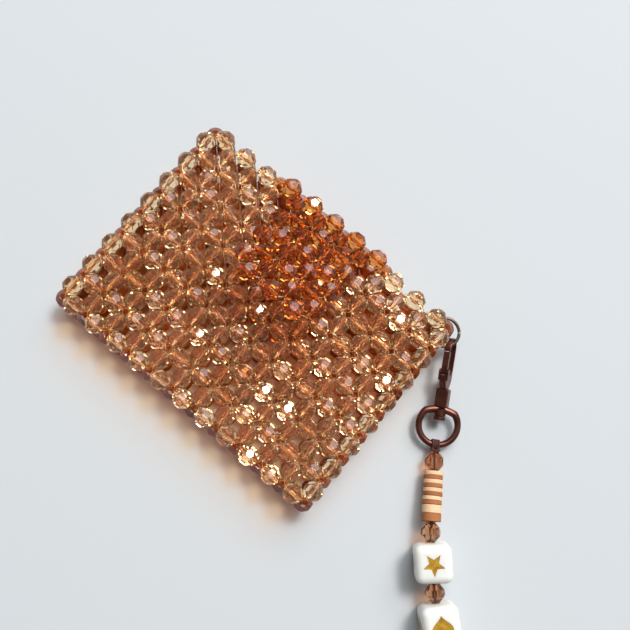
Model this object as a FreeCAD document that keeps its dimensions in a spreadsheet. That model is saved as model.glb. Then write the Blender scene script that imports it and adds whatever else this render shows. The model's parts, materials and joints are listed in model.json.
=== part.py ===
"""A flat coin purse woven from faceted beads, with a clip-on strand of beads.

The pouch is a right-angle weave: beads lie along the lines of a square grid, in a
front and a back panel that a ring of upright beads joins down both sides and along
the bottom. A flap of darker beads leaves the top of the back panel. A jump ring at
the pouch's top right corner holds a swivel clasp with its strand of beads.

Frame: +Z up from the table, +X along the pouch's long side, +Y towards its mouth.
The origin is the middle of the back panel's resting face. All sizes in millimetres.
"""
import FreeCAD, Part
import math
import os

V = FreeCAD.Vector
X_AXIS, Y_AXIS, Z_AXIS = V(1, 0, 0), V(0, 1, 0), V(0, 0, 1)

doc = FreeCAD.newDocument("coin_purse")
sheet = doc.addObject("Spreadsheet::Sheet", "sizes")

SIZES = [
    # facet bead: an eight-sided barrel with a square bore
    ("bead_length", 6.0),
    ("bead_radius", 2.9),
    ("bead_bevel", 1.75),
    ("bore_side", 1.0),
    # weave
    ("pitch", 8.485),
    ("columns", 11),
    ("rows", 8),
    ("panel_gap", 9.6),
    ("thread_side", 0.5),
    # flap
    ("flap_first_column", 3),
    ("flap_columns", 5),
    ("flap_fold_out", 1.87),
    ("flap_fold_rise", 0.9),
    ("flap_root_tilt", 29.0),
    ("flap_tilt", 24.5),
    ("flap_rows", 4),
    # jump ring
    ("jump_radius", 4.5),
    ("jump_wire", 0.45),
    ("jump_height", 6.9),
    ("jump_offset", 1.0),
    ("jump_heading", -24.0),
    # swivel clasp, measured from the far bar of its ring towards the hook's bow
    ("clasp_heading", -59.12),
    ("clasp_pitch", 6.4),
    ("clasp_reach", 31.05),
    ("ring_bar_height", 2.7),
    ("ring_radius", 6.1),
    ("ring_bar", 1.0),
    ("ring_flat_start", 8.9),
    ("ring_flat_end", 11.4),
    ("ring_flat_width", 10.0),
    ("ring_flat_height", 2.2),
    ("collar_start", 11.65),
    ("collar_length", 5.9),
    ("collar_side", 3.9),
    ("collar_bevel", 0.35),
    ("hook_roll", 27.0),
    ("hook_thickness", 2.0),
    ("hook_half_height", 3.6),
    ("neck_half", 1.7),
    ("shoulder_length", 2.5),
    ("eye_chamfer", 1.5),
    ("cheek_half", 1.0),
    ("cheek_root", 1.6),
    ("hook_wall", 0.65),
    ("hook_end", 33.42),
    ("gate_pivot", 22.6),
    ("gate_height", 2.8),
    ("gate_half", 0.75),
    ("gate_end", 28.9),
    ("gate_width", 1.8),
    ("cheek_thickness", 0.5),
    ("gate_pin_radius", 0.35),
    ("swivel_pin_radius", 0.8),
    ("swivel_head_radius", 1.9),
    ("swivel_head", 1.0),
    # strand
    ("strand_height", 6.1),
    ("first_bead", 5.1),
    ("heading_1", -55.8),
    ("heading_2", -47.1),
    ("heading_3", -42.0),
    ("heading_4", -46.0),
    ("heading_5", -53.0),
    ("heading_6", -60.0),
    ("tail_drop", -8.0),
    ("disc_radius", 2.92),
    ("disc_thickness", 1.25),
    ("disc_bore_radius", 0.8),
    ("cube_side", 11.2),
    ("cube_round", 1.8),
    ("cube_bore_radius", 1.0),
    ("cube_clearance", 3.15),
    ("roll_1", 8.0),
    ("roll_2", 3.0),
    ("roll_3", -6.0),
    ("roll_4", 5.0),
    ("cord_radius", 0.4),
    ("cord_start", 2.0),
    ("cord_gap", 0.3),
    ("loop_radius", 1.6),
    ("loop_cord_radius", 0.35),
    ("loop_offset", 0.42),
    ("knot_radius", 1.35),
]
for number, (name, value) in enumerate(SIZES, start=1):
    sheet.set(f"A{number}", name)
    sheet.set(f"B{number}", str(value))
    sheet.setAlias(f"B{number}", name)
doc.recompute()


def size(name):
    """A driving dimension, read from the sheet."""
    return float(sheet.get(name))


def bind(thing, **expressions):
    """Bind an object's properties to expressions of the sheet's aliases."""
    for prop, text in expressions.items():
        thing.setExpression(prop, text)
    return thing


NODES = []


def node(thing, label):
    """Name a sub-part that is written to its own file."""
    thing.Label = label
    NODES.append(thing)
    return thing


def feature(label, shapes, placement=None):
    """A sub-part made of several equal solids, laid out by formula."""
    thing = doc.addObject("Part::Feature", label)
    thing.Shape = Part.makeCompound(shapes)
    if placement is not None:
        thing.Placement = placement
    return node(thing, label)


def turn(axis, degrees):
    return FreeCAD.Rotation(axis, degrees)


# ---------------------------------------------------------------- facet bead
PITCH = size("pitch")
GAP = size("panel_gap")
BEAD_HALF = size("bead_length") / 2
BEAD_SIDES = 8
BEAD_FLAT = size("bead_radius") * math.cos(math.pi / BEAD_SIDES)

barrel = doc.addObject("Part::Prism", "bead_barrel")
barrel.Polygon = BEAD_SIDES
bind(barrel, Circumradius="sizes.bead_radius", Height="sizes.bead_length")
doc.recompute()

bevelled = doc.addObject("Part::Chamfer", "bead_bevelled")
bevelled.Base = barrel
end_edges = [
    number
    for number, edge in enumerate(barrel.Shape.Edges, start=1)
    if abs(edge.Vertexes[0].Z - edge.Vertexes[1].Z) < 1e-6
]
BEVEL = size("bead_bevel")
bevelled.Edges = [(number, BEVEL, BEVEL) for number in end_edges]

bead_bore = doc.addObject("Part::Box", "bead_bore")
bind(
    bead_bore,
    Length="sizes.bore_side",
    Width="sizes.bore_side",
    Height="sizes.bead_length",
)
bead_bore.setExpression("Placement.Base.x", "-sizes.bore_side / 2")
bead_bore.setExpression("Placement.Base.y", "-sizes.bore_side / 2")

bead = doc.addObject("Part::Cut", "facet_bead")
bead.Base = bevelled
bead.Tool = bead_bore
doc.recompute()

# The bead about its own centre, its bore along Z and its flats facing X and Y.
UPRIGHT = bead.Shape.copy()
UPRIGHT.translate(V(0, 0, -BEAD_HALF))
UPRIGHT = UPRIGHT.transformed(
    FreeCAD.Placement(V(), turn(Z_AXIS, 180 / BEAD_SIDES)).toMatrix()
)


def bead_at(place, along):
    """A bead at a point, its bore along a direction and a pair of flats facing up."""
    if abs(along.z) > 0.99 * along.Length:
        rotation = FreeCAD.Rotation()
    else:
        rotation = FreeCAD.Rotation(V(0, 0, 1), V(), along, "ZXY")
    return UPRIGHT.transformed(FreeCAD.Placement(place, rotation).toMatrix())


# ---------------------------------------------------------------- pouch grid
COLUMNS = int(size("columns"))
ROWS = int(size("rows"))
BACK_Z = BEAD_FLAT
FRONT_Z = BACK_Z + GAP
MIDDLE_Z = BACK_Z + GAP / 2
FLAP_FIRST = int(size("flap_first_column"))
FLAP_LAST = FLAP_FIRST + int(size("flap_columns"))


def grid(column, row, height):
    """A point of the weave's grid, in the pouch's frame."""
    return V((column - COLUMNS / 2) * PITCH, (row - ROWS / 2) * PITCH, height)


def row_beads(height, skip=()):
    """The beads along X of one panel: one in the middle of each grid edge."""
    return [
        bead_at(grid(column + 0.5, row, height), X_AXIS)
        for row in range(ROWS + 1)
        for column in range(COLUMNS)
        if (column, row) not in skip
    ]


def column_beads(height, skip=()):
    """The beads along Y of one panel."""
    return [
        bead_at(grid(column, row + 0.5, height), Y_AXIS)
        for column in range(COLUMNS + 1)
        for row in range(ROWS)
        if (column, row) not in skip
    ]


# The front panel's edge steps down by one row behind the flap, where the fold sits.
FRONT_ROW_SKIP = {(column, ROWS) for column in range(FLAP_FIRST, FLAP_LAST)}
FRONT_COLUMN_SKIP = {(column, ROWS - 1) for column in range(FLAP_FIRST + 1, FLAP_LAST)}

feature("back_panel_row_beads", row_beads(BACK_Z))
feature("back_panel_column_beads", column_beads(BACK_Z))
feature("front_panel_row_beads", row_beads(FRONT_Z, FRONT_ROW_SKIP))
feature("front_panel_column_beads", column_beads(FRONT_Z, FRONT_COLUMN_SKIP))

BOTTOM = [(column, 0) for column in range(1, COLUMNS)]
LEFT = [(0, row) for row in range(ROWS + 1)]
RIGHT = [(COLUMNS, row) for row in range(ROWS + 1)]
for label, places in (("bottom", BOTTOM), ("left_side", LEFT), ("right_side", RIGHT)):
    feature(
        f"{label}_gusset_beads",
        [bead_at(grid(column, row, MIDDLE_Z), Z_AXIS) for column, row in places],
    )

# ---------------------------------------------------------------- threads
THREAD = size("thread_side")


def thread(start, end):
    """A straight run of thread: a square bar from one point to another."""
    run = end - start
    bar = Part.makeBox(THREAD, THREAD, run.Length, V(-THREAD / 2, -THREAD / 2, 0))
    if abs(run.z) > 0.99 * run.Length:
        rotation = FreeCAD.Rotation(Z_AXIS, run)
    else:
        rotation = FreeCAD.Rotation(V(0, 0, 1), V(), run, "ZXY")
    return bar.transformed(FreeCAD.Placement(start, rotation).toMatrix())


def net(label, runs):
    """One thread node: runs that cross are one solid."""
    bars = [thread(start, end) for start, end in runs]
    fused = bars[0].multiFuse(bars[1:]).removeSplitter()
    return feature(label, fused.Solids)


def panel_runs(height, top_of_column):
    """The grid lines of a panel: its columns, then its rows."""
    runs = [
        (grid(column, 0, height), grid(column, top_of_column(column), height))
        for column in range(COLUMNS + 1)
    ]
    for row in range(ROWS):
        runs.append((grid(0, row, height), grid(COLUMNS, row, height)))
    return runs


def front_top(column):
    return ROWS - 1 if FLAP_FIRST < column < FLAP_LAST else ROWS


back_runs = panel_runs(BACK_Z, lambda column: ROWS)
back_runs.append((grid(0, ROWS, BACK_Z), grid(COLUMNS, ROWS, BACK_Z)))
net("back_panel_thread", back_runs)

front_runs = panel_runs(FRONT_Z, front_top)
front_runs.append((grid(0, ROWS, FRONT_Z), grid(FLAP_FIRST, ROWS, FRONT_Z)))
front_runs.append((grid(FLAP_LAST, ROWS, FRONT_Z), grid(COLUMNS, ROWS, FRONT_Z)))
net("front_panel_thread", front_runs)

feature(
    "gusset_thread",
    [
        thread(
            grid(column, row, BACK_Z + THREAD / 2),
            grid(column, row, FRONT_Z - THREAD / 2),
        )
        for column, row in BOTTOM + LEFT + RIGHT
    ],
)

# ---------------------------------------------------------------- flap
# The riser stands on the back panel's top row, the fold row lies along its top, and
# the cover leans over the front panel from there.
FOLD_Y = grid(0, ROWS, 0).y + size("flap_fold_out")
FOLD_Z = FRONT_Z + size("flap_fold_rise")
RISER_FOOT_Y = grid(0, ROWS, 0).y


def on_riser(column, share):
    """A point between the back panel's top row and the fold row."""
    x = grid(column, 0, 0).x
    y = RISER_FOOT_Y + share * (FOLD_Y - RISER_FOOT_Y)
    return V(x, y, BACK_Z + share * (FOLD_Z - BACK_Z))


def on_cover(column, row):
    """A point of the cover, counted in rows from the fold."""
    root = math.radians(size("flap_root_tilt"))
    rest = math.radians(size("flap_tilt"))
    first = min(row, 1) * PITCH
    later = max(row - 1, 0) * PITCH
    back = first * math.cos(root) + later * math.cos(rest)
    up = first * math.sin(root) + later * math.sin(rest)
    return V(grid(column, 0, 0).x, FOLD_Y - back, FOLD_Z + up)


FLAP_ROWS = int(size("flap_rows"))
RISER_TRIM = 0.06
COVER = range(FLAP_FIRST + 1, FLAP_LAST)
RISER = range(FLAP_FIRST, FLAP_LAST + 1)

feature(
    "flap_riser_beads",
    [bead_at(on_riser(c, 0.5), on_riser(c, 1) - on_riser(c, 0)) for c in RISER],
)
feature("flap_fold_beads", [bead_at(on_riser(c + 0.5, 1), X_AXIS) for c in RISER[:-1]])
feature(
    "flap_row_beads",
    [
        bead_at(on_cover(c + 0.5, row), X_AXIS)
        for row in range(1, FLAP_ROWS + 1)
        for c in COVER[:-1]
    ],
)
feature(
    "flap_column_beads",
    [
        bead_at(on_cover(c, row + 0.5), on_cover(c, row + 1) - on_cover(c, row))
        for row in range(FLAP_ROWS)
        for c in COVER
    ],
)
feature(
    "flap_riser_thread",
    [thread(on_riser(c, RISER_TRIM), on_riser(c, 1 - RISER_TRIM)) for c in RISER],
)
cover_runs = [(on_riser(FLAP_FIRST, 1), on_riser(FLAP_LAST, 1))]
for c in COVER:
    cover_runs.append((on_cover(c, 0), on_cover(c, 1)))
    cover_runs.append((on_cover(c, 1), on_cover(c, FLAP_ROWS)))
for row in range(1, FLAP_ROWS + 1):
    cover_runs.append((on_cover(COVER[0], row), on_cover(COVER[-1], row)))
net("flap_thread", cover_runs)

# ---------------------------------------------------------------- jump ring
corner = grid(COLUMNS, ROWS, size("jump_height"))
heading = math.radians(size("jump_heading"))
offset = size("jump_offset")
jump_centre = corner + V(offset * math.cos(heading), offset * math.sin(heading), 0)
jump = node(doc.addObject("Part::Torus", "jump_ring"), "jump_ring")
bind(jump, Radius1="sizes.jump_radius", Radius2="sizes.jump_wire")
jump.Placement = FreeCAD.Placement(jump_centre, FreeCAD.Rotation())

# ---------------------------------------------------------------- swivel clasp
# Its own frame has X along the clasp from the far bar of its ring towards the bow,
# Y across it, level with the table, and Z upwards.
reach = size("jump_radius") + offset
bow_eye = corner + V(reach * math.cos(heading), reach * math.sin(heading), 0)
clasp_turn = math.radians(size("clasp_heading"))
clasp_length = size("clasp_reach") * math.cos(math.radians(size("clasp_pitch")))
clasp_foot = V(
    bow_eye.x + clasp_length * math.cos(clasp_turn),
    bow_eye.y + clasp_length * math.sin(clasp_turn),
    size("ring_bar_height"),
)
clasp_frame = FreeCAD.Placement(
    clasp_foot,
    turn(Z_AXIS, size("clasp_heading") + 180).multiply(turn(Y_AXIS, -size("clasp_pitch"))),
)


# The hook, its gate and the collar are rolled about the clasp's length, so that the
# gate leans over to one side of the spine.
hook_frame = clasp_frame.multiply(FreeCAD.Placement(V(), turn(X_AXIS, -size("hook_roll"))))


def place(thing, x, y, z, axis=Z_AXIS, degrees=0, frame=clasp_frame):
    """Set a Part primitive at a point of the clasp's frame, turned about an axis."""
    move = FreeCAD.Placement(V(x, y, z), turn(axis, degrees))
    thing.Placement = frame.multiply(move)
    return thing


def primitive(kind, name, **expressions):
    return bind(doc.addObject(kind, name), **expressions)


def boolean(kind, name, base, tool):
    thing = doc.addObject(kind, name)
    thing.Base = base
    thing.Tool = tool
    return thing


FITTING_CLEARANCE = 0.06
RING_RADIUS = size("ring_radius")
FLAT_START, FLAT_END = size("ring_flat_start"), size("ring_flat_end")
FLAT_WIDTH = size("ring_flat_width")

# Swivel ring: a round loop whose near side is a flat bar with the swivel's bore.
loop = primitive(
    "Part::Torus", "ring_loop", Radius1="sizes.ring_radius", Radius2="sizes.ring_bar"
)
place(loop, RING_RADIUS, 0, 0)
flat_bar = primitive("Part::Box", "ring_flat_bar", Width="sizes.ring_flat_width")
flat_bar.setExpression("Length", "sizes.ring_flat_end - sizes.ring_flat_start")
bind(flat_bar, Height="sizes.ring_flat_height")
place(flat_bar, FLAT_START, -FLAT_WIDTH / 2, -size("ring_flat_height") / 2)
beyond = primitive("Part::Box", "ring_beyond")
BEYOND = 3 * RING_RADIUS
beyond.Length = beyond.Height = beyond.Width = BEYOND
place(beyond, FLAT_END, -BEYOND / 2, -BEYOND / 2)
swivel_bore = primitive("Part::Cylinder", "swivel_bore")
swivel_bore.setExpression("Radius", f"sizes.swivel_pin_radius + {FITTING_CLEARANCE}")
swivel_bore.Height = 2 * RING_RADIUS
place(swivel_bore, RING_RADIUS, 0, 0, Y_AXIS, 90)
ring_blank = boolean("Part::Fuse", "ring_blank", loop, flat_bar)
ring_cut = boolean("Part::Cut", "ring_cut", ring_blank, beyond)
node(boolean("Part::Cut", "swivel_ring", ring_cut, swivel_bore), "swivel_ring")

# Swivel pin: its head sits inside the ring, its shank runs up to the collar.
HEAD = size("swivel_head")
HEAD_CLEARANCE = 0.1
head_start = FLAT_START - HEAD_CLEARANCE - HEAD
head = primitive("Part::Cylinder", "pin_head", Radius="sizes.swivel_head_radius")
bind(head, Height="sizes.swivel_head")
place(head, head_start, 0, 0, Y_AXIS, 90)
shank = primitive("Part::Cylinder", "pin_shank", Radius="sizes.swivel_pin_radius")
shank.Height = size("collar_start") - head_start
place(shank, head_start, 0, 0, Y_AXIS, 90)
node(boolean("Part::Fuse", "swivel_pin", head, shank), "swivel_pin")

# Collar: a square block, with its edges broken, between the swivel and the hook.
COLLAR_HALF = size("collar_side") / 2
collar_block = primitive("Part::Box", "collar_block", Length="sizes.collar_length")
bind(collar_block, Width="sizes.collar_side", Height="sizes.collar_side")
place(collar_block, size("collar_start"), -COLLAR_HALF, -COLLAR_HALF, frame=hook_frame)
doc.recompute()
collar = doc.addObject("Part::Chamfer", "clasp_collar")
collar.Base = collar_block
BREAK = size("collar_bevel")
collar.Edges = [(number, BREAK, BREAK) for number in range(1, 13)]
node(collar, "clasp_collar")


# Hook: a flat plate, upright along the clasp, with its eye at the far end. The gate
# closes the eye's upper side and two cheeks hold the gate's pin.
def upright_outline(points):
    """A closed wire in the clasp's XZ plane. A tuple of three is the middle of an arc."""
    edges = []
    at = 0
    while at < len(points) - 1:
        start = V(points[at][0], 0, points[at][1])
        if len(points[at + 1]) == 3:
            middle = V(points[at + 1][0], 0, points[at + 1][1])
            end = V(points[at + 2][0], 0, points[at + 2][1])
            edges.append(Part.Arc(start, middle, end).toShape())
            at += 2
        else:
            end = V(points[at + 1][0], 0, points[at + 1][1])
            edges.append(Part.LineSegment(start, end).toShape())
            at += 1
    return Part.Face(Part.Wire(edges))


def plate(face, middle_y, thickness):
    face.translate(V(0, middle_y - thickness / 2, 0))
    return face.extrude(V(0, thickness, 0))


HALF = size("hook_half_height")
WALL = size("hook_wall")
EYE = HALF - WALL
HOOK_START = size("collar_start") + size("collar_length")
HOOK_END = size("hook_end")
BOW = HOOK_END - HALF
GATE_CLEARANCE = 0.2
TIP = size("gate_end") + GATE_CLEARANCE
GATE_X, GATE_Z = size("gate_pivot"), size("gate_height")
SHANK_END = GATE_X - size("gate_half") - GATE_CLEARANCE
NECK = size("neck_half")
SHOULDER = size("shoulder_length")
STEP = size("eye_chamfer")
CHEEK_HALF = size("cheek_half")
CHEEK_START = SHANK_END - size("cheek_root")
hook_outline = [
    (HOOK_START, -NECK),
    (HOOK_START + SHOULDER, -HALF),
    (BOW, -HALF),
    (HOOK_END, 0, "arc"),
    (BOW, HALF),
    (TIP, HALF),
    (TIP, EYE),
    (BOW, EYE),
    (HOOK_END - WALL, 0, "arc"),
    (BOW, -EYE),
    (SHANK_END + STEP, -EYE),
    (SHANK_END, STEP - EYE),
    (SHANK_END, HALF),
    (HOOK_START + SHOULDER, HALF),
    (HOOK_START, NECK),
    (HOOK_START, -NECK),
]
cheek_outline = [
    (CHEEK_START, HALF),
    (CHEEK_START, GATE_Z - CHEEK_HALF),
    (GATE_X, GATE_Z - CHEEK_HALF),
    (GATE_X + CHEEK_HALF, GATE_Z, "arc"),
    (GATE_X, GATE_Z + CHEEK_HALF),
    (CHEEK_START, HALF),
]
THICK = size("hook_thickness")
CHEEK = size("cheek_thickness")
hook = plate(upright_outline(hook_outline), 0, THICK)
for side in (-1, 1):
    cheek = plate(upright_outline(cheek_outline), side * (THICK + CHEEK) / 2, CHEEK)
    hook = hook.fuse(cheek)
pin_bore = Part.makeCylinder(
    size("gate_pin_radius"), 2 * THICK, V(GATE_X, -THICK, GATE_Z), Y_AXIS
)
hook = hook.cut(pin_bore).removeSplitter()
feature("clasp_hook", hook.Solids, hook_frame)

gate_nose = primitive("Part::Cylinder", "gate_nose", Height="sizes.gate_width")
bind(gate_nose, Radius="sizes.gate_half")
GATE_WIDTH = size("gate_width")
place(gate_nose, GATE_X, GATE_WIDTH / 2, GATE_Z, X_AXIS, 90, hook_frame)
gate_bar = primitive("Part::Box", "gate_bar", Width="sizes.gate_width")
gate_bar.setExpression("Length", "sizes.gate_end - sizes.gate_pivot")
gate_bar.setExpression("Height", "2 * sizes.gate_half")
GATE_LOW = GATE_Z - size("gate_half")
place(gate_bar, GATE_X, -GATE_WIDTH / 2, GATE_LOW, frame=hook_frame)
gate_bore = primitive("Part::Cylinder", "gate_bore", Height="2 * sizes.gate_width")
gate_bore.setExpression("Radius", f"sizes.gate_pin_radius + {FITTING_CLEARANCE}")
place(gate_bore, GATE_X, GATE_WIDTH, GATE_Z, X_AXIS, 90, hook_frame)
gate_blank = boolean("Part::Fuse", "gate_blank", gate_nose, gate_bar)
node(boolean("Part::Cut", "clasp_gate", gate_blank, gate_bore), "clasp_gate")

gate_pin = primitive("Part::Cylinder", "gate_pin", Radius="sizes.gate_pin_radius")
gate_pin.setExpression("Height", "sizes.hook_thickness + 2 * sizes.cheek_thickness")
place(gate_pin, GATE_X, THICK / 2 + CHEEK, GATE_Z, X_AXIS, 90, hook_frame)
node(gate_pin, "gate_pin")

# ---------------------------------------------------------------- strand
# It is a chain of stretches, each with its own heading, that bend at a facet bead.
DISC = size("disc_thickness")
CUBE = size("cube_side")
FACE = size("cube_clearance")
TOUCH_GAP = 0.05
BEAD_GAP = BEAD_HALF + TOUCH_GAP
LEAD_DISCS = "cbcbcbcbccbb"
TAIL_DISCS = "bcbcbc"
LEAD_BEAD = size("first_bead")
LEAD_DISCS_START = LEAD_BEAD + BEAD_GAP
LEAD_LENGTH = LEAD_DISCS_START + len(LEAD_DISCS) * DISC + BEAD_GAP
BLOCK_LENGTH = 2 * FACE + CUBE
CORD_START = size("cord_start")
PAST_BEAD = BEAD_HALF + size("cord_gap")
lead_pitch = math.degrees(
    math.asin((size("strand_height") - size("ring_bar_height")) / LEAD_LENGTH)
)


def stretch_frame(start, heading_degrees, pitch_degrees):
    """A frame with X along a stretch of the strand."""
    rotation = turn(Z_AXIS, heading_degrees).multiply(turn(Y_AXIS, -pitch_degrees))
    return FreeCAD.Placement(start, rotation)


def along(frame, distance):
    return frame.multVec(V(distance, 0, 0))


def laid(shape, frame, distance):
    """A shape modelled about its centre with its bore along X, put on a stretch."""
    move = frame.multiply(FreeCAD.Placement(V(distance, 0, 0), FreeCAD.Rotation()))
    return shape.transformed(move.toMatrix())


BEAD_ALONG = UPRIGHT.transformed(FreeCAD.Placement(V(), turn(Y_AXIS, 90)).toMatrix())

disc_rim = primitive("Part::Cylinder", "disc_rim", Radius="sizes.disc_radius")
bind(disc_rim, Height="sizes.disc_thickness")
disc_bore = primitive("Part::Cylinder", "disc_bore", Height="sizes.disc_thickness")
disc_bore.setExpression("Radius", "sizes.disc_bore_radius")
disc = boolean("Part::Cut", "clay_disc", disc_rim, disc_bore)

block = primitive("Part::Box", "block_blank", Length="sizes.cube_side")
bind(block, Width="sizes.cube_side", Height="sizes.cube_side")
doc.recompute()
rounded = doc.addObject("Part::Fillet", "block_rounded")
rounded.Base = block
ROUND = size("cube_round")
rounded.Edges = [(number, ROUND, ROUND) for number in range(1, 13)]
block_bore = primitive("Part::Cylinder", "block_bore", Height="sizes.cube_side")
block_bore.setExpression("Radius", "sizes.cube_bore_radius")
block_bore.Placement = FreeCAD.Placement(V(0, CUBE / 2, CUBE / 2), turn(Y_AXIS, 90))
cube = boolean("Part::Cut", "silicone_block", rounded, block_bore)
doc.recompute()
CUBE_SHAPE = cube.Shape.copy()
CUBE_SHAPE.translate(V(-CUBE / 2, -CUBE / 2, -CUBE / 2))
DISC_SHAPE = disc.Shape.transformed(
    FreeCAD.Placement(V(-DISC / 2, 0, 0), turn(Y_AXIS, 90)).toMatrix()
)


def discs(label, frame, pattern, colour, start):
    """The discs of one colour of a stack."""
    feature(
        label,
        [
            laid(DISC_SHAPE, frame, start + (number + 0.5) * DISC)
            for number, letter in enumerate(pattern)
            if letter == colour
        ],
    )


def cord_core(label, frame, start, end):
    """The cord inside a stretch, as a plain round bar."""
    core = Part.makeCylinder(size("cord_radius"), end - start, V(start, 0, 0), X_AXIS)
    feature(label, [core.transformed(frame.toMatrix())])


lead = stretch_frame(clasp_foot, size("heading_1"), lead_pitch)
loops = []
for side in (-1, 1):
    ring_loop = Part.makeTorus(
        size("loop_radius"),
        size("loop_cord_radius"),
        V(0, side * size("loop_offset"), 0),
        Y_AXIS,
    )
    loops.append(ring_loop.transformed(clasp_frame.toMatrix()))
feature("ring_cord_loops", loops)
feature("strand_bead_1", [laid(BEAD_ALONG, lead, LEAD_BEAD)])
discs("lead_cream_discs", lead, LEAD_DISCS, "c", LEAD_DISCS_START)
discs("lead_brown_discs", lead, LEAD_DISCS, "b", LEAD_DISCS_START)
feature("strand_bead_2", [laid(BEAD_ALONG, lead, LEAD_LENGTH)])
cord_core("strand_cord_1", lead, CORD_START, LEAD_LENGTH + BEAD_HALF)

joint_points = [clasp_foot, along(lead, LEAD_LENGTH)]
for number in range(1, 5):
    frame = stretch_frame(joint_points[-1], size(f"heading_{number + 1}"), 0)
    rolled = frame.multiply(FreeCAD.Placement(V(), turn(X_AXIS, size(f"roll_{number}"))))
    feature(f"block_{number}", [laid(CUBE_SHAPE, rolled, BLOCK_LENGTH / 2)])
    feature(f"strand_bead_{number + 2}", [laid(BEAD_ALONG, frame, BLOCK_LENGTH)])
    cord_core(f"strand_cord_{number + 1}", frame, PAST_BEAD, BLOCK_LENGTH + BEAD_HALF)
    joint_points.append(along(frame, BLOCK_LENGTH))

tail = stretch_frame(joint_points[-1], size("heading_6"), size("tail_drop"))
TAIL_START = BEAD_GAP + size("cord_gap") / 2
TAIL_BEAD = TAIL_START + len(TAIL_DISCS) * DISC + BEAD_GAP
KNOT = TAIL_BEAD + BEAD_HALF + size("knot_radius")
discs("tail_cream_discs", tail, TAIL_DISCS, "c", TAIL_START)
discs("tail_brown_discs", tail, TAIL_DISCS, "b", TAIL_START)
feature("strand_bead_7", [laid(BEAD_ALONG, tail, TAIL_BEAD)])
cord_core("strand_cord_6", tail, PAST_BEAD, KNOT - size("knot_radius"))
end_knot = primitive("Part::Sphere", "end_knot", Radius="sizes.knot_radius")
end_knot.Placement = FreeCAD.Placement(along(tail, KNOT), tail.Rotation)
node(end_knot, "end_knot")

# ---------------------------------------------------------------- check and write
doc.recompute()
for thing in doc.Objects:
    if {"Invalid", "Error"} & set(thing.State):
        raise RuntimeError(f"{thing.Name} failed: {thing.State}")
os.makedirs("parts", exist_ok=True)
for thing in NODES:
    if thing.Shape.isNull() or not thing.Shape.isValid() or not thing.Shape.Solids:
        raise RuntimeError(f"{thing.Label} has no valid solid")
    thing.Shape.exportStep(f"parts/{thing.Label}.step")
    box = thing.Shape.BoundBox
    print(
        f"{thing.Label}: {len(thing.Shape.Solids)} solids, {len(thing.Shape.Faces)} faces,",
        f"x {box.XMin:.2f}..{box.XMax:.2f} y {box.YMin:.2f}..{box.YMax:.2f}",
        f"z {box.ZMin:.2f}..{box.ZMax:.2f}",
    )
for number, point in enumerate(joint_points, start=1):
    print(f"strand joint {number}: {point.x:.3f} {point.y:.3f} {point.z:.3f}")
for name, point in (
    ("corner", corner),
    ("bow eye", bow_eye),
    ("gate pivot", hook_frame.multVec(V(GATE_X, 0, GATE_Z))),
    ("clasp direction", clasp_frame.Rotation.multVec(X_AXIS)),
    ("clasp across", hook_frame.Rotation.multVec(Y_AXIS)),
    ("fold", V(0, FOLD_Y, FOLD_Z)),
    ("riser foot", V(0, RISER_FOOT_Y, BACK_Z)),
):
    print(f"{name}: {point.x:.4f} {point.y:.4f} {point.z:.4f}")
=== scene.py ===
"""Looks of a coin purse woven from cut beads, built around its CAD frame.

Every bead, disc, block and cord takes its place from the CAD solid that it stands for.
The thread is found by walking from bead to bead. Lengths are in metres, and the sizes
named below are in millimetres, multiplied by MM.
"""

import json
import math
import random

import bmesh
import bpy
import numpy as np
from mathutils import Matrix, Vector


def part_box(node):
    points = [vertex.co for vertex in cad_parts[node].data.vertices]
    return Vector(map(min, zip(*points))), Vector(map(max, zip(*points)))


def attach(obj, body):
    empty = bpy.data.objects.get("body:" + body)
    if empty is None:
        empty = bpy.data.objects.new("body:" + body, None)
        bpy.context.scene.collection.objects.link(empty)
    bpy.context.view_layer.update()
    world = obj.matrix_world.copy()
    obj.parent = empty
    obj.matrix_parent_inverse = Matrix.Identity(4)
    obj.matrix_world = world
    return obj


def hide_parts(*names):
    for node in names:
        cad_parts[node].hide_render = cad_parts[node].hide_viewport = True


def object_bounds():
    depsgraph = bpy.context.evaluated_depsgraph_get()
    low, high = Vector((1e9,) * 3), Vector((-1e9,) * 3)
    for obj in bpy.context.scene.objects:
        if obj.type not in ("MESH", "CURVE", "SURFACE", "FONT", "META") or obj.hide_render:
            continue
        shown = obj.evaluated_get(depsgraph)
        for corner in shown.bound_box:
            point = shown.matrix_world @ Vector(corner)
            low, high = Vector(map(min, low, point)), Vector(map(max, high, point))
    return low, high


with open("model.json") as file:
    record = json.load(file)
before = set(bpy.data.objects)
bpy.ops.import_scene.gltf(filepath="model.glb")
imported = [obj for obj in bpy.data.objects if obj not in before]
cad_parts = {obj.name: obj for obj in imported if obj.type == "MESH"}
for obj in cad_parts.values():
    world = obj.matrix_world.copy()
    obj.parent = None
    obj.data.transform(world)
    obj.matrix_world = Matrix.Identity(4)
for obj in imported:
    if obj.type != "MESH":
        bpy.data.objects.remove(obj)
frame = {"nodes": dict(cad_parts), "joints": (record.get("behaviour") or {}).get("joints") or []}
CAD_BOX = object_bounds()
NODES = frame["nodes"]
SCENE = bpy.context.scene
MM = 0.001
UP = Vector((0, 0, 1))
SHARP = math.radians(38)


# ------------------------------------------------------------------ mesh helpers
class Shape:
    """Vertices and faces gathered from several parts."""

    def __init__(self):
        self.verts = []
        self.faces = []

    def add(self, verts, faces, move=None):
        first = len(self.verts)
        self.verts += [move @ v if move else v for v in verts]
        self.faces += [[first + n for n in face] for face in faces]
        return self


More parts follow.
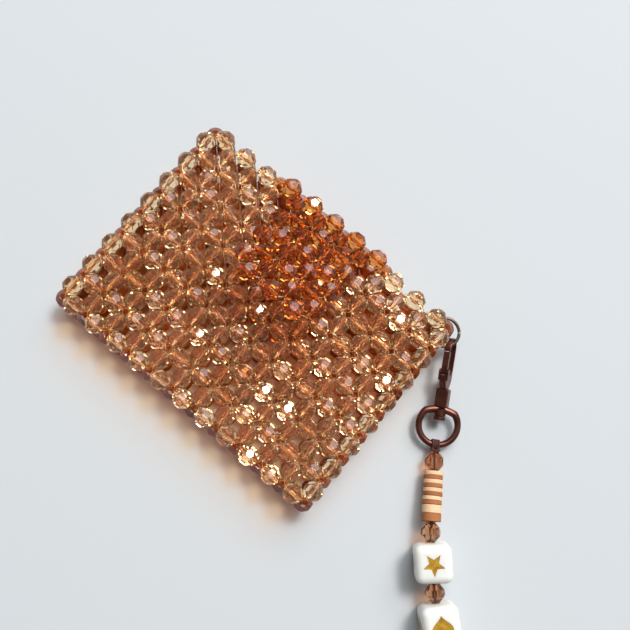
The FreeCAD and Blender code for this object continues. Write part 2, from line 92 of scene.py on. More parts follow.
def show(name, shape, body, material, replaced=(), smooth=False):
    """Make a piece from a shape, on a body, in place of some CAD nodes."""
    mesh = bpy.data.meshes.new(name)
    mesh.from_pydata(shape.verts, [], shape.faces)
    mesh.validate()
    mesh.materials.append(material)
    mesh.polygons.foreach_set("use_smooth", [smooth] * len(mesh.polygons))
    if smooth:
        mesh.set_sharp_from_angle(angle=SHARP)
    thing = bpy.data.objects.new(name, mesh)
    SCENE.collection.objects.link(thing)
    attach(thing, body)
    if replaced:
        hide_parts(*replaced)
    return thing


def islands(node):
    """The corner points of each separate solid of a CAD node."""
    work = bmesh.new()
    work.from_mesh(NODES[node].data)
    bmesh.ops.remove_doubles(work, verts=work.verts, dist=0.001 * MM)
    left = set(work.verts)
    found = []
    for start in work.verts:
        if start not in left:
            continue
        left.remove(start)
        todo, group = [start], []
        while todo:
            vert = todo.pop()
            group.append(vert.co.copy())
            for edge in vert.link_edges:
                other = edge.other_vert(vert)
                if other in left:
                    left.remove(other)
                    todo.append(other)
        found.append(group)
    work.free()
    return found


def long_axis(points, shortest=False):
    """(centre, direction, half length) of a solid that has an axis."""
    cloud = np.array([tuple(p) for p in points])
    spread, axes = np.linalg.eigh(np.cov(cloud.T))
    axis = Vector(axes[:, 0 if shortest else 2])
    upright = abs(axis.z) > 0.99
    side = Vector((1, 0, 0)) if upright else UP.cross(axis).normalized()
    third = axis.cross(side)
    centre, half = Vector(), 0
    for way in (axis, side, third):
        reach = [p.dot(way) for p in points]
        centre += way * (max(reach) + min(reach)) / 2
        if way is axis:
            half = (max(reach) - min(reach)) / 2
    return centre, axis, half


def facing(axis, centre, spin=0.0):
    """The placement that turns Z to an axis, after a spin about it."""
    turn = axis.to_track_quat("Z", "Y").to_matrix().to_4x4()
    return Matrix.Translation(centre) @ turn @ Matrix.Rotation(spin, 4, "Z")


def ring_faces(count, lower, upper):
    """The quads between two rings of a lathe or a tube."""
    return [
        [lower + n, lower + (n + 1) % count, upper + (n + 1) % count, upper + n]
        for n in range(count)
    ]


def tube(path, radius, sides=8, closed=False):
    """A round tube along a list of points. The radius is one number or one for each."""
    radii = radius if isinstance(radius, list) else [radius] * len(path)
    verts, faces = [], []
    normal = None
    for number, point in enumerate(path):
        before = path[number - 1] if number or closed else point
        after = path[(number + 1) % len(path)] if number + 1 < len(path) or closed else point
        ahead = (after - before).normalized()
        if normal is None:
            normal = ahead.orthogonal().normalized()
        normal = (normal - ahead * normal.dot(ahead)).normalized()
        across = ahead.cross(normal)
        for side in range(sides):
            angle = math.tau * side / sides
            verts.append(
                point + (normal * math.cos(angle) + across * math.sin(angle)) * radii[number]
            )
    rings = len(path)
    for number in range(rings if closed else rings - 1):
        faces += ring_faces(sides, number * sides, (number + 1) % rings * sides)
    if not closed:
        faces.append(list(range(sides))[::-1])
        faces.append([(rings - 1) * sides + n for n in range(sides)])
    return verts, faces


def lathe(profile, segments, closed=False):
    """A profile of (radius, height) points turned about Z."""
    verts = []
    for radius, height in profile:
        for n in range(segments):
            angle = math.tau * n / segments
            verts.append(
                Vector((radius * math.cos(angle), radius * math.sin(angle), height))
            )
    faces = []
    count = len(profile)
    for number in range(count if closed else count - 1):
        faces += ring_faces(segments, number * segments, (number + 1) % count * segments)
    return verts, faces


# ------------------------------------------------------------------ materials
NOISE_ROUGHNESS = 0.55


def material(name, **sockets):
    """A Principled material, with its plain sockets set."""
    made = bpy.data.materials.new(name)
    made.use_nodes = True
    shader = made.node_tree.nodes["Principled BSDF"]
    for socket, value in sockets.items():
        shader.inputs[socket.replace("_", " ")].default_value = value
    return made, made.node_tree, shader


def noise(tree, scale, detail=4.0):
    """A noise texture fixed to the piece, from 0 to 1."""
    place = tree.nodes.new("ShaderNodeTexCoord")
    texture = tree.nodes.new("ShaderNodeTexNoise")
    texture.inputs["Scale"].default_value = scale
    texture.inputs["Detail"].default_value = detail
    texture.inputs["Roughness"].default_value = NOISE_ROUGHNESS
    tree.links.new(place.outputs["Object"], texture.inputs["Vector"])
    return texture.outputs["Fac"]


def ramp(tree, value, stops):
    """A colour ramp: stops are (position, colour)."""
    node = tree.nodes.new("ShaderNodeValToRGB")
    points = node.color_ramp.elements
    while len(points) < len(stops):
        points.new(0.5)
    for point, (position, colour) in zip(points, stops):
        point.position = position
        point.color = (*colour, 1)
    tree.links.new(value, node.inputs["Fac"])
    return node.outputs["Color"]


def spread(tree, value, low, high):
    """A number from low to high as a texture's value goes from 0 to 1."""
    node = tree.nodes.new("ShaderNodeMapRange")
    node.inputs["To Min"].default_value = low
    node.inputs["To Max"].default_value = high
    tree.links.new(value, node.inputs["Value"])
    return node.outputs["Result"]


def bump(tree, shader, height, strength, distance):
    """Give a shader the small relief of a texture."""
    node = tree.nodes.new("ShaderNodeBump")
    node.inputs["Strength"].default_value = strength
    node.inputs["Distance"].default_value = distance
    tree.links.new(height, node.inputs["Height"])
    tree.links.new(node.outputs["Normal"], shader.inputs["Normal"])


def per_piece(tree):
    """A random number for each separate bead of a piece."""
    return tree.nodes.new("ShaderNodeNewGeometry").outputs["Random Per Island"]


ACRYLIC_IOR = 1.49
ACRYLIC_ROUGH = 0.03
BEAD_DEPTH = 6.0 * MM


def acrylic(name, through, pale, deep, lamp, clear):
    """Dyed, nearly clear acrylic. A bead's depth of it lets `through` of each colour
    pass, each bead has its own tint, from pale to deep, and each face lets `lamp` of a
    lamp's light through. `clear` is how much of the light passes into it."""
    made, tree, shader = material(
        name, Transmission_Weight=clear, IOR=ACRYLIC_IOR, Roughness=ACRYLIC_ROUGH
    )
    tint = ramp(tree, per_piece(tree), [(0.0, pale), (1.0, deep)])
    tree.links.new(tint, shader.inputs["Base Color"])
    rough = spread(tree, noise(tree, 260.0), 0.6 * ACRYLIC_ROUGH, 1.4 * ACRYLIC_ROUGH)
    tree.links.new(rough, shader.inputs["Roughness"])
    bump(tree, shader, noise(tree, 150.0, 1.0), 0.03, 0.1 * MM)
    inside = tree.nodes.new("ShaderNodeVolumeAbsorption")
    losses = [-math.log(share) / BEAD_DEPTH for share in through]
    density = max(losses) * 1.02
    inside.inputs["Density"].default_value = density
    inside.inputs["Color"].default_value = (*[1 - loss / density for loss in losses], 1)
    out = tree.nodes["Material Output"]
    tree.links.new(inside.outputs["Volume"], out.inputs["Volume"])
    ray = tree.nodes.new("ShaderNodeLightPath")
    glow = tree.nodes.new("ShaderNodeBsdfTransparent")
    glow.inputs["Color"].default_value = (*lamp, 1)
    pick = tree.nodes.new("ShaderNodeMixShader")
    tree.links.new(ray.outputs["Is Shadow Ray"], pick.inputs["Fac"])
    tree.links.new(shader.outputs["BSDF"], pick.inputs[1])
    tree.links.new(glow.outputs["BSDF"], pick.inputs[2])
    tree.links.new(pick.outputs["Shader"], out.inputs["Surface"])
    return made


def plated(name, dark, light):
    """Brown plated metal, satin, with lighter rubbed patches and fine grain."""
    made, tree, shader = material(name, Metallic=0.92, Roughness=0.34)
    colour = ramp(tree, noise(tree, 300.0), [(0.35, dark), (0.75, light)])
    tree.links.new(colour, shader.inputs["Base Color"])
    rough = spread(tree, noise(tree, 900.0), 0.26, 0.46)
    tree.links.new(rough, shader.inputs["Roughness"])
    bump(tree, shader, noise(tree, 1800.0), 0.12, 0.05 * MM)
    return made


def clay(name, dark, light):
    """Matte polymer clay, faintly mottled from disc to disc."""
    made, tree, shader = material(name, Roughness=0.8)
    colour = ramp(tree, per_piece(tree), [(0.0, dark), (1.0, light)])
    speckle = ramp(tree, noise(tree, 2500.0, 2.0), [(0.3, (0.86,) * 3), (0.7, (1.0,) * 3)])
    mix = tree.nodes.new("ShaderNodeMix")
    mix.data_type = "RGBA"
    mix.blend_type = "MULTIPLY"
    mix.inputs["Factor"].default_value = 1.0
    tree.links.new(colour, mix.inputs["A"])
    tree.links.new(speckle, mix.inputs["B"])
    tree.links.new(mix.outputs["Result"], shader.inputs["Base Color"])
    rough = spread(tree, noise(tree, 800.0), 0.68, 0.9)
    tree.links.new(rough, shader.inputs["Roughness"])
    bump(tree, shader, noise(tree, 1400.0), 0.3, 0.06 * MM)
    return made


def silicone(name):
    """Soft white silicone: faintly translucent and matte, with a powdery surface."""
    made, tree, shader = material(
        name, Roughness=0.5, Subsurface_Weight=0.35, Subsurface_Scale=1.5 * MM
    )
    shader.inputs["Subsurface Radius"].default_value = (1.0, 0.95, 0.8)
    colour = ramp(
        tree, noise(tree, 120.0), [(0.3, (0.78, 0.78, 0.73)), (0.7, (0.84, 0.835, 0.79))]
    )
    tree.links.new(colour, shader.inputs["Base Color"])
    rough = spread(tree, noise(tree, 700.0), 0.42, 0.6)
    tree.links.new(rough, shader.inputs["Roughness"])
    bump(tree, shader, noise(tree, 2200.0), 0.15, 0.04 * MM)
    return made


def gold_paint(name):
    """Gold paint, brushed on a little unevenly."""
    made, tree, shader = material(name, Metallic=0.7, Roughness=0.42)
    colour = ramp(
        tree, noise(tree, 900.0), [(0.3, (0.5, 0.24, 0.02)), (0.7, (0.86, 0.5, 0.06))]
    )
    tree.links.new(colour, shader.inputs["Base Color"])
    bump(tree, shader, noise(tree, 1500.0), 0.4, 0.08 * MM)
    return made


def waxed_cord(name):
    """Dark brown cord, with the fibres faintly showing through its wax."""
    made, tree, shader = material(name, Roughness=0.85)
    colour = ramp(
        tree, noise(tree, 1200.0), [(0.3, (0.03, 0.008, 0.008)), (0.7, (0.095, 0.026, 0.022))]
    )
    tree.links.new(colour, shader.inputs["Base Color"])
    bump(tree, shader, noise(tree, 3500.0), 0.5, 0.08 * MM)
    return made


def nylon(name):
    """Thin clear line. Its warm orange colour is painted light: the glow that the beads round it
    throw on it.
    """
    made, tree, shader = material(name, Roughness=0.2, Transmission_Weight=0.7, IOR=1.5)
    # The orange ramp is painted light: the beads' glow, laid on a line that is itself clear.
    colour = ramp(
        tree, noise(tree, 400.0), [(0.3, (0.6, 0.25, 0.08)), (0.7, (0.9, 0.5, 0.2))]
    )
    tree.links.new(colour, shader.inputs["Base Color"])
    bump(tree, shader, noise(tree, 4000.0), 0.3, 0.03 * MM)
    return made


CHAMPAGNE = acrylic(
    "champagne acrylic",
    through=(1, 0.9, 0.74),
    pale=(1, 0.87, 0.7),
    deep=(1, 0.77, 0.52),
    lamp=(0.94, 0.79, 0.62),
    clear=0.975,
)
# Dark rust acrylic: the gussets' own dye. The back panel, champagne beads like the front, is
# drawn in it too. There it is painted shade and a painted orange glow: the shaded inside of the
# purse under the front layer.
RUST_DYE_AND_SHADE = acrylic(
    "rust acrylic and painted shade",
    through=(0.8, 0.42, 0.22),
    pale=(0.5, 0.17, 0.055),
    deep=(0.24, 0.065, 0.02),
    lamp=(0.38, 0.25, 0.18),
    clear=0.72,
)
AMBER = acrylic(
    "amber acrylic",
    through=(0.88, 0.58, 0.3),
    pale=(0.93, 0.56, 0.28),
    deep=(0.8, 0.4, 0.17),
    lamp=(0.68, 0.47, 0.3),
    clear=0.985,
)
ROSE = acrylic(
    "rose acrylic",
    through=(0.72, 0.46, 0.3),
    pale=(0.98, 0.74, 0.54),
    deep=(0.86, 0.56, 0.36),
    lamp=(0.58, 0.46, 0.38),
    clear=0.99,
)
BRONZE = plated("brown plating", (0.12, 0.04, 0.028), (0.23, 0.088, 0.062))
RING_WIRE = plated("bronze wire", (0.09, 0.06, 0.045), (0.2, 0.14, 0.11))
CREAM = clay("cream clay", (0.86, 0.53, 0.31), (0.92, 0.62, 0.38))
BROWN = clay("brown clay", (0.36, 0.12, 0.036), (0.45, 0.165, 0.055))
SILICONE = silicone("white silicone")
GOLD = gold_paint("gold paint")
CORD = waxed_cord("waxed cord")
NYLON = nylon("nylon thread")

# ------------------------------------------------------------------ beads
BEAD_SIDES = 8
BEAD_RADIUS = 3.0 * MM
BEAD_HALF = 2.95 * MM
BEAD_END_RADIUS = 1.3 * MM
BEAD_BELT = 0.7 * MM
BORE_RADIUS = 0.52 * MM
BORE_DEPTH = 0.25 * MM
BEAD_LEAN = math.radians(4.0)


def cut_bead():
    """A cut bead about its centre, its bore along Z: a belt of long hexagons, kites and
    triangles that narrow to each end, and a round bore."""
    half_turn = math.pi / BEAD_SIDES
    flat = BEAD_RADIUS * math.cos(half_turn)
    drop = (BEAD_HALF - BEAD_BELT) / (BEAD_RADIUS - BEAD_END_RADIUS)
    tip_height = BEAD_BELT + (BEAD_RADIUS - flat * math.cos(half_turn)) * drop
    verts, faces = [], []

    def ring(radius, height, turned):
        first = len(verts)
        for n in range(BEAD_SIDES):
            angle = 2 * half_turn * (n + (0.5 if turned else 0))
            verts.append(
                Vector((radius * math.cos(angle), radius * math.sin(angle), height))
            )
        return [first + n for n in range(BEAD_SIDES)]

    ends = []
    for sign in (1, -1):
        corner = ring(BEAD_RADIUS, sign * BEAD_BELT, True)
        tip = ring(flat, sign * tip_height, False)
        rim = ring(BEAD_END_RADIUS, sign * BEAD_HALF, True)
        bore = ring(BORE_RADIUS, sign * (BEAD_HALF - BORE_DEPTH), True)
        ends.append((corner, tip, rim, bore))
        for n in range(BEAD_SIDES):
            after = (n + 1) % BEAD_SIDES
            made = [
                [corner[n], tip[after], rim[n], tip[n]],
                [tip[n], rim[n], rim[n - 1]],
                [rim[n], rim[after], bore[after], bore[n]],
            ]
            faces += made if sign > 0 else [face[::-1] for face in made]
    (top, top_tip, _, top_bore), (low, low_tip, _, low_bore) = ends
    for n in range(BEAD_SIDES):
        after = (n + 1) % BEAD_SIDES
        faces.append([top[n], top_tip[n], top[n - 1], low[n - 1], low_tip[n], low[n]])
        faces.append([top_bore[n], top_bore[after], low_bore[after], low_bore[n]])
    return verts, faces


CUT_BEAD = cut_bead()
BEADS = {}


def beads(node, body, look):
    """All the beads of a CAD node, each turned about its bore as it happens to lie."""
    draw = random.Random(node)
    shape = Shape()
    BEADS[node] = []
    for points in islands(node):
        centre, axis, _ = long_axis(points)
        BEADS[node].append((centre, axis))
        place = facing(axis, centre, draw.uniform(0, math.tau))
        lean = Matrix.Rotation(draw.uniform(-BEAD_LEAN, BEAD_LEAN), 4, "X")
        shape.add(*CUT_BEAD, place @ lean)
    return show(f"{node}_cut", shape, body, look, [node])


# The back panel's beads take the rust acrylic, darker than their own champagne. This is painted
# shade and glow for the shaded inside under the front layer. The gussets' rust is their own
# colour.
PANEL_BEADS = [
    ("back_panel_row_beads", RUST_DYE_AND_SHADE, "rust_bead"),
    ("back_panel_column_beads", RUST_DYE_AND_SHADE, "rust_bead"),
    ("front_panel_row_beads", CHAMPAGNE, "champagne_bead"),
    ("front_panel_column_beads", CHAMPAGNE, "champagne_bead"),
    ("bottom_gusset_beads", RUST_DYE_AND_SHADE, "rust_bead"),
    ("left_side_gusset_beads", RUST_DYE_AND_SHADE, "rust_bead"),
    ("right_side_gusset_beads", RUST_DYE_AND_SHADE, "rust_bead"),
]
for node, look, slot in PANEL_BEADS:
    beads(node, "pouch", look)
beads("flap_riser_beads", "flap_riser", AMBER)
for node in ("flap_fold_beads", "flap_row_beads", "flap_column_beads"):
    beads(node, "flap_cover", AMBER)

# ------------------------------------------------------------------ thread
PITCH = 8.485 * MM
THREAD_RADIUS = 0.11 * MM
JOIN_REACH = 2.0 * MM
LOOP_INSET = 0.12 * MM
LOOP_PULL = 0.12
ARC_STEPS = 4
THREAD_SIDES = 6


def weave_corners():
    """The points where bead ends meet, and the bead between each pair of them."""
    corners, links = [], {}

    def corner_at(point):
        for number, (total, count) in enumerate(corners):
            if (total / count - point).length < JOIN_REACH:
                corners[number] = (total + point, count + 1)
                return number
        corners.append((point.copy(), 1))
        return len(corners) - 1

    for node, places in BEADS.items():
        for centre, axis in places:
            ends = [corner_at(centre + axis * s * PITCH / 2) for s in (-1, 1)]
            links.setdefault(ends[0], {})[ends[1]] = (node, centre)
            links.setdefault(ends[1], {})[ends[0]] = (node, centre)
    return [total / count for total, count in corners], links


def thread_loop(ring, corners, links):
    """The closed path of the thread through four beads, a little inside their bores."""
    middle = sum((corners[c] for c in ring), Vector()) / len(ring)
    path = []
    for number, here in enumerate(ring):
        after = ring[(number + 1) % len(ring)]
        last = ring[number - 1]
        nearer = []
        for other in (last, after):
            centre = links[here][other][1]
            way = (corners[here] - corners[other]).normalized()
            inset = (middle - centre).normalized() * LOOP_INSET
            nearer.append(centre + way * BEAD_HALF + inset)
        bend = corners[here] + (middle - corners[here]) * LOOP_PULL
        for step in range(ARC_STEPS + 1):
            share = step / ARC_STEPS
            path.append(
                nearer[0] * (1 - share) ** 2
                + bend * 2 * share * (1 - share)
                + nearer[1] * share**2
            )
    return path


def threads():
    """One loop of thread through each ring of four beads, sorted by what it moves with."""
    corners, links = weave_corners()
    shapes = {"pouch": Shape(), "flap_riser": Shape(), "flap_cover": Shape()}
    seen = set()
    for here in links:
        for far in links:
            shared = [c for c in links[here] if c in links[far]]
            if here >= far or len(shared) < 2:
                continue
            for first in range(len(shared)):
                for second in range(first + 1, len(shared)):
                    ring = [here, shared[first], far, shared[second]]
                    if frozenset(ring) in seen:
                        continue
                    seen.add(frozenset(ring))
                    names = {links[a][b][0] for a, b in zip(ring, ring[1:] + ring[:1])}
                    body = "pouch"
                    if "flap_riser_beads" in names:
                        body = "flap_riser"
                    elif any(name.startswith("flap") for name in names):
                        body = "flap_cover"
                    path = thread_loop(ring, corners, links)
                    shapes[body].add(*tube(path, THREAD_RADIUS, THREAD_SIDES, closed=True))
    return shapes


THREAD_NODES = {
    "pouch": ["back_panel_thread", "front_panel_thread", "gusset_thread"],
    "flap_riser": ["flap_riser_thread"],
    "flap_cover": ["flap_thread"],
}
for body, shape in threads().items():
    replaced = THREAD_NODES[body]
    show(f"{body}_thread_loops", shape, body, NYLON, replaced, smooth=True)

# ------------------------------------------------------------------ strand
JOINTS = {joint["name"]: Vector(joint["pos_m"]) for joint in frame["joints"]}
AXES = {joint["name"]: Vector(joint["axis"]) for joint in frame["joints"]}
LINKS = ["strand_link_1", "strand_link_2", "strand_link_3", "strand_link_4"]
BODIES = ["strand_lead"] + LINKS + ["strand_tail"]

for number, body in enumerate(["strand_lead"] + BODIES, start=1):
    beads(f"strand_bead_{number}", body, ROSE)

DISC_SEGMENTS = 40
DISC_EDGE = 0.16 * MM
DISC_BORE = 0.8 * MM
DISC_THICKNESS = 0.965
DISC_SLIP = 0.13 * MM
DISC_LEAN = math.radians(1.0)


def disc_profile(radius, half):
    """One clay disc's section, with its cut edges softened."""
    middle = 0.3 * DISC_EDGE
    return [
        (DISC_BORE, half),
        (radius - DISC_EDGE, half),
        (radius - middle, half - middle),
        (radius, half - DISC_EDGE),
        (radius, DISC_EDGE - half),
        (radius - middle, middle - half),
        (radius - DISC_EDGE, -half),
        (DISC_BORE, -half),
    ]


def discs(node, body, look):
    """Clay discs, each a little off the cord's line and cut a little unevenly."""
    draw = random.Random(node)
    shape = Shape()
    for points in islands(node):
        centre, axis, half = long_axis(points, shortest=True)
        radius = max((p - centre - axis * (p - centre).dot(axis)).length for p in points)
        place = facing(axis, centre, draw.uniform(0, math.tau))
        slip = Matrix.Translation((draw.uniform(0, DISC_SLIP), 0, 0))
        lean = Matrix.Rotation(draw.uniform(-DISC_LEAN, DISC_LEAN), 4, "X")
        profile = disc_profile(radius, half * DISC_THICKNESS)
        shape.add(*lathe(profile, DISC_SEGMENTS, closed=True), place @ slip @ lean)
    return show(f"{node}_cut", shape, body, look, [node])


for part, body in (("lead", "strand_lead"), ("tail", "strand_tail")):
    discs(f"{part}_cream_discs", body, CREAM)
    discs(f"{part}_brown_discs", body, BROWN)

# ------------------------------------------------------------------ blocks
BLOCK = 11.2 * MM
BLOCK_ROUND = 2.3 * MM
BLOCK_ROLLS = (8.0, 3.0, -6.0, 5.0)
BLOCK_BORE = 1.0 * MM
BORE_SIDES = 24
MARK_DEPTH = 0.45 * MM
PAINT_TOP = 0.16 * MM
MARK_SIZE = 3.4 * MM
PAINT_SIZE = 0.985


def star(points, inner):
    """A star's outline, one unit across its radius."""
    outline = []
    for n in range(2 * points):
        radius = inner if n % 2 else 1.0
        angle = math.pi * n / points
        outline.append((radius * math.cos(angle), radius * math.sin(angle)))
    return outline


def heart(steps=28):
    outline = []
    for n in range(steps):
        t = math.tau * n / steps
        across = 16 * math.sin(t) ** 3
        along = 13 * math.cos(t) - 5 * math.cos(2 * t) - 2 * math.cos(3 * t) - math.cos(4 * t)
        outline.append((along / 17, across / 17))
    return outline


def crescent(steps=14):
    """A young moon: an outer arc, and a flatter inner arc back between its horns."""
    horn = math.radians(125)
    outer = [horn * (2 * n / steps - 1) for n in range(steps + 1)]
    outline = [(math.cos(a), math.sin(a)) for a in outer]
    back = -math.cos(horn)
    rise = math.sin(horn)
    for n in range(1, steps):
        share = 1 - 2 * n / steps
        outline.append((0.45 - (0.45 + back) * share**2, rise * share))
    return outline


MARKS = [star(5, 0.45), heart(), star(4, 0.38), crescent()]


def prism(outline, side, low, high):
    """An outline as a prism that stands on one side of a block. The block's bore is X."""
    verts = []
    for height in (low, high):
        for along, across in outline:
            verts.append(Vector((along * MARK_SIZE, across * MARK_SIZE, height)))
    count = len(outline)
    faces = ring_faces(count, 0, count)
    faces.append(list(range(count))[::-1])
    faces.append([count + n for n in range(count)])
    turn = Matrix.Rotation(side * math.pi / 2, 4, "X")
    return [turn @ v for v in verts], faces


def scratch(name, shape):
    """A hidden object for a boolean cut."""
    mesh = bpy.data.meshes.new(name)
    mesh.from_pydata(shape.verts, [], shape.faces)
    thing = bpy.data.objects.new(name, mesh)
    SCENE.collection.objects.link(thing)
    return thing


def rounded_block():
    """A cube with large soft edges."""
    work = bmesh.new()
    bmesh.ops.create_cube(work, size=BLOCK)
    bmesh.ops.bevel(
        work,
        geom=list(work.edges),
        offset=BLOCK_ROUND,
        segments=6,
        profile=0.5,
        affect="EDGES",
    )
    shape = Shape()
    shape.verts = [v.co.copy() for v in work.verts]
    shape.faces = [[v.index for v in face.verts] for face in work.faces]
    work.free()
    return shape


def placed(x_way, y_way, z_way, origin):
    """The placement that turns X, Y and Z to three directions at an origin."""
    place = Matrix.Identity(4)
    for number, way in enumerate((x_way, y_way, z_way)):
        place.col[number] = (*way, 0)
    place.translation = origin
    return place


def block(number, body):
    """A silicone block with a gold mark pressed into each side round its bore."""
    node = f"block_{number}"
    start = JOINTS[f"strand_bend_{number}"]
    end = JOINTS[f"strand_bend_{number + 1}"]
    low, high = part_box(node)
    heading = (end - start).normalized()
    side = UP.cross(heading).normalized()
    place = placed(heading, side, heading.cross(side), (low + high) / 2)
    place @= Matrix.Rotation(math.radians(BLOCK_ROLLS[number - 1]), 4, "X")
    outline = MARKS[number - 1]
    cutters, paint = Shape(), Shape()
    inner = [(PAINT_SIZE * along, PAINT_SIZE * across) for along, across in outline]
    half = BLOCK / 2
    for turn in range(4):
        cutters.add(*prism(outline, turn, half - MARK_DEPTH, half + MARK_DEPTH))
        paint.add(*prism(inner, turn, half - MARK_DEPTH, half - PAINT_TOP))
    bore = [Vector((s * BLOCK, 0, 0)) for s in (-1, 1)]
    cutters.add(*tube(bore, BLOCK_BORE, BORE_SIDES))
    blank = scratch(f"blank_{number}", rounded_block())
    tool = scratch(f"cutter_{number}", cutters)
    cut = blank.modifiers.new("cut", "BOOLEAN")
    cut.object = tool
    cut.solver = "EXACT"
    cut.use_self = True
    bpy.context.view_layer.update()
    graph = bpy.context.evaluated_depsgraph_get()
    mesh = bpy.data.meshes.new_from_object(blank.evaluated_get(graph))
    verts = [v.co.copy() for v in mesh.vertices]
    faces = [list(p.vertices) for p in mesh.polygons]
    shape = Shape().add(verts, faces, place)
    for thing in (blank, tool):
        bpy.data.objects.remove(thing)
    name = f"{node}_silicone"
    show(name, shape, body, SILICONE, [node], smooth=True)
    gold = Shape().add(paint.verts, paint.faces, place)
    show(f"{node}_marks", gold, body, GOLD)


for number, body in enumerate(LINKS, start=1):
    block(number, body)

# ------------------------------------------------------------------ cords and knots
CORD_RADIUS = 0.42 * MM
CORD_LAY = 2.4 * MM
CORD_TRIM = 0.25 * MM
PLIES = 3
PLY_OFFSET = 0.5 * CORD_RADIUS
PLY_RADIUS = 0.54 * CORD_RADIUS
PLY_SIDES = 7
STEPS_A_TURN = 10


def twisted(start, end):
    """A cord of plies laid round a straight line."""
    length = (end - start).length
    ahead = (end - start).normalized()
    side = ahead.orthogonal().normalized()
    other = ahead.cross(side)
    steps = max(6, round(STEPS_A_TURN * length / CORD_LAY))
    shape = Shape()
    for ply in range(PLIES):
        points = []
        for step in range(steps + 1):
            share = step / steps
            angle = math.tau * (share * length / CORD_LAY + ply / PLIES)
            off = side * math.cos(angle) + other * math.sin(angle)
            points.append(start.lerp(end, share) + off * PLY_OFFSET)
        shape.add(*tube(points, PLY_RADIUS, PLY_SIDES))
    return shape


def core(number, body):
    """The cord inside one stretch of the strand."""
    node = f"strand_cord_{number}"
    centre, axis, half = long_axis(islands(node)[0])
    half -= CORD_TRIM
    shape = twisted(centre - axis * half, centre + axis * half)
    show(f"{node}_laid", shape, body, CORD, [node], smooth=True)


for number, body in enumerate(BODIES, start=1):
    core(number, body)

RING_BAR = 1.0 * MM
WRAPS = (-1.35, -0.45, 0.45, 1.35)
WRAP_PITCH = 0.62 * MM
WRAP_SWAY = 0.08 * MM
WRAP_RADIUS = 0.4 * MM
WRAP_CLEARANCE = 0.36 * MM
WRAP_STEPS = 20
THROAT = 2.3 * MM
KNOT_SIDES = 8
KNOT_STEPS = 8

clasp_way = AXES["swivel_turn"].normalized()
clasp_side = UP.cross(clasp_way).normalized()
clasp_up = clasp_way.cross(clasp_side)
clasp_foot = JOINTS["swivel_turn"]
lead_way = (JOINTS["strand_bend_1"] - JOINTS["strand_swing"]).normalized()


def knot_on_ring():
    """A lark's head: wraps side by side round the ring, a band across them, and two
    strands that meet at the first bead."""
    shape = Shape()
    reach = RING_BAR + WRAP_CLEARANCE
    for wrap in WRAPS:
        middle = clasp_foot + clasp_side * wrap * WRAP_PITCH
        circle = []
        for step in range(WRAP_STEPS):
            angle = math.tau * step / WRAP_STEPS
            sway = clasp_side * WRAP_SWAY * wrap * math.cos(angle)
            out = clasp_way * math.cos(angle) + clasp_up * math.sin(angle)
            circle.append(middle + out * reach + sway)
        shape.add(*tube(circle, WRAP_RADIUS, KNOT_SIDES, closed=True))
    side = UP.cross(lead_way).normalized()
    for sign in (-1, 1):
        path = []
        for step in range(KNOT_STEPS + 1):
            share = step / KNOT_STEPS
            width = (0.95 - 0.62 * share) * MM * sign
            rise = reach * 0.75 * math.cos(math.pi / 2 * share)
            along = 0.55 * reach * (1 - share) + THROAT * share
            path.append(clasp_foot + lead_way * along + side * width + clasp_up * rise)
        shape.add(*tube(path, CORD_RADIUS, KNOT_SIDES))
    band = []
    for step in range(KNOT_STEPS + 1):
        share = 2 * step / KNOT_STEPS - 1
        bow = math.cos(math.pi / 2 * share)
        out = lead_way * (0.75 + 0.15 * bow) + clasp_up * (0.55 + 0.2 * bow)
        band.append(clasp_foot + out * 1.9 * MM + side * share * 1.25 * MM)
    shape.add(*tube(band, WRAP_RADIUS, KNOT_SIDES))
    show("ring_knot", shape, "strand_lead", CORD, ["ring_cord_loops"], smooth=True)


def end_knot(steps=60):
    """An overhand knot, drawn tight: a trefoil whose turns press on each other."""
    low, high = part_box("end_knot")
    centre = (low + high) / 2
    radius = (high.x - low.x) / 2
    place = facing((JOINTS["strand_bend_5"] - centre).normalized(), centre)
    path = []
    for step in range(steps):
        t = math.tau * step / steps
        x = (math.sin(t) + 2 * math.sin(2 * t)) * 0.23 * radius
        y = (math.cos(t) - 2 * math.cos(2 * t)) * 0.23 * radius
        z = -math.sin(3 * t) * 0.45 * radius
        path.append(place @ Vector((x, y, z)))
    shape = Shape().add(*tube(path, 0.34 * radius, KNOT_SIDES, closed=True))
    show("end_knot_tied", shape, "strand_tail", CORD, ["end_knot"], smooth=True)


knot_on_ring()
end_knot()

# ------------------------------------------------------------------ jump ring and clasp
WIRE_RADIUS = 0.5 * MM
CUT_AT = math.radians(38)
CUT_HALF = math.radians(1.5)
WIRE_SIDES = 14


def jump_ring(steps=72):
    """A wire ring with its cut, drawn nearly closed."""
    low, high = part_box("jump_ring")
    centre = (low + high) / 2
    radius = (high.x - low.x) / 2 - WIRE_RADIUS
    path = []
    for step in range(steps + 1):
        angle = CUT_AT + CUT_HALF + (math.tau - 2 * CUT_HALF) * step / steps
        path.append(centre + Vector((math.cos(angle), math.sin(angle), 0)) * radius)
    shape = Shape().add(*tube(path, WIRE_RADIUS, WIRE_SIDES))
    replaced = ["jump_ring"]
    show("jump_ring_wire", shape, "jump_ring", RING_WIRE, replaced, smooth=True)


RING_RADIUS = 6.1 * MM
BAR_PLACE = 10.15 * MM
BAR_RADIUS = 1.15 * MM
BAR_ARCH = 1.0 * MM
BOSS_RADIUS = 1.75 * MM
BOSS_BORE = 0.86 * MM
BOSS_LOW = 8.95 * MM
BOSS_HIGH = 11.4 * MM
BOSS_EDGE = 0.2 * MM
CAST_SIDES = 16
BOSS_SIDES = 28
SWELL_FROM = 0.75


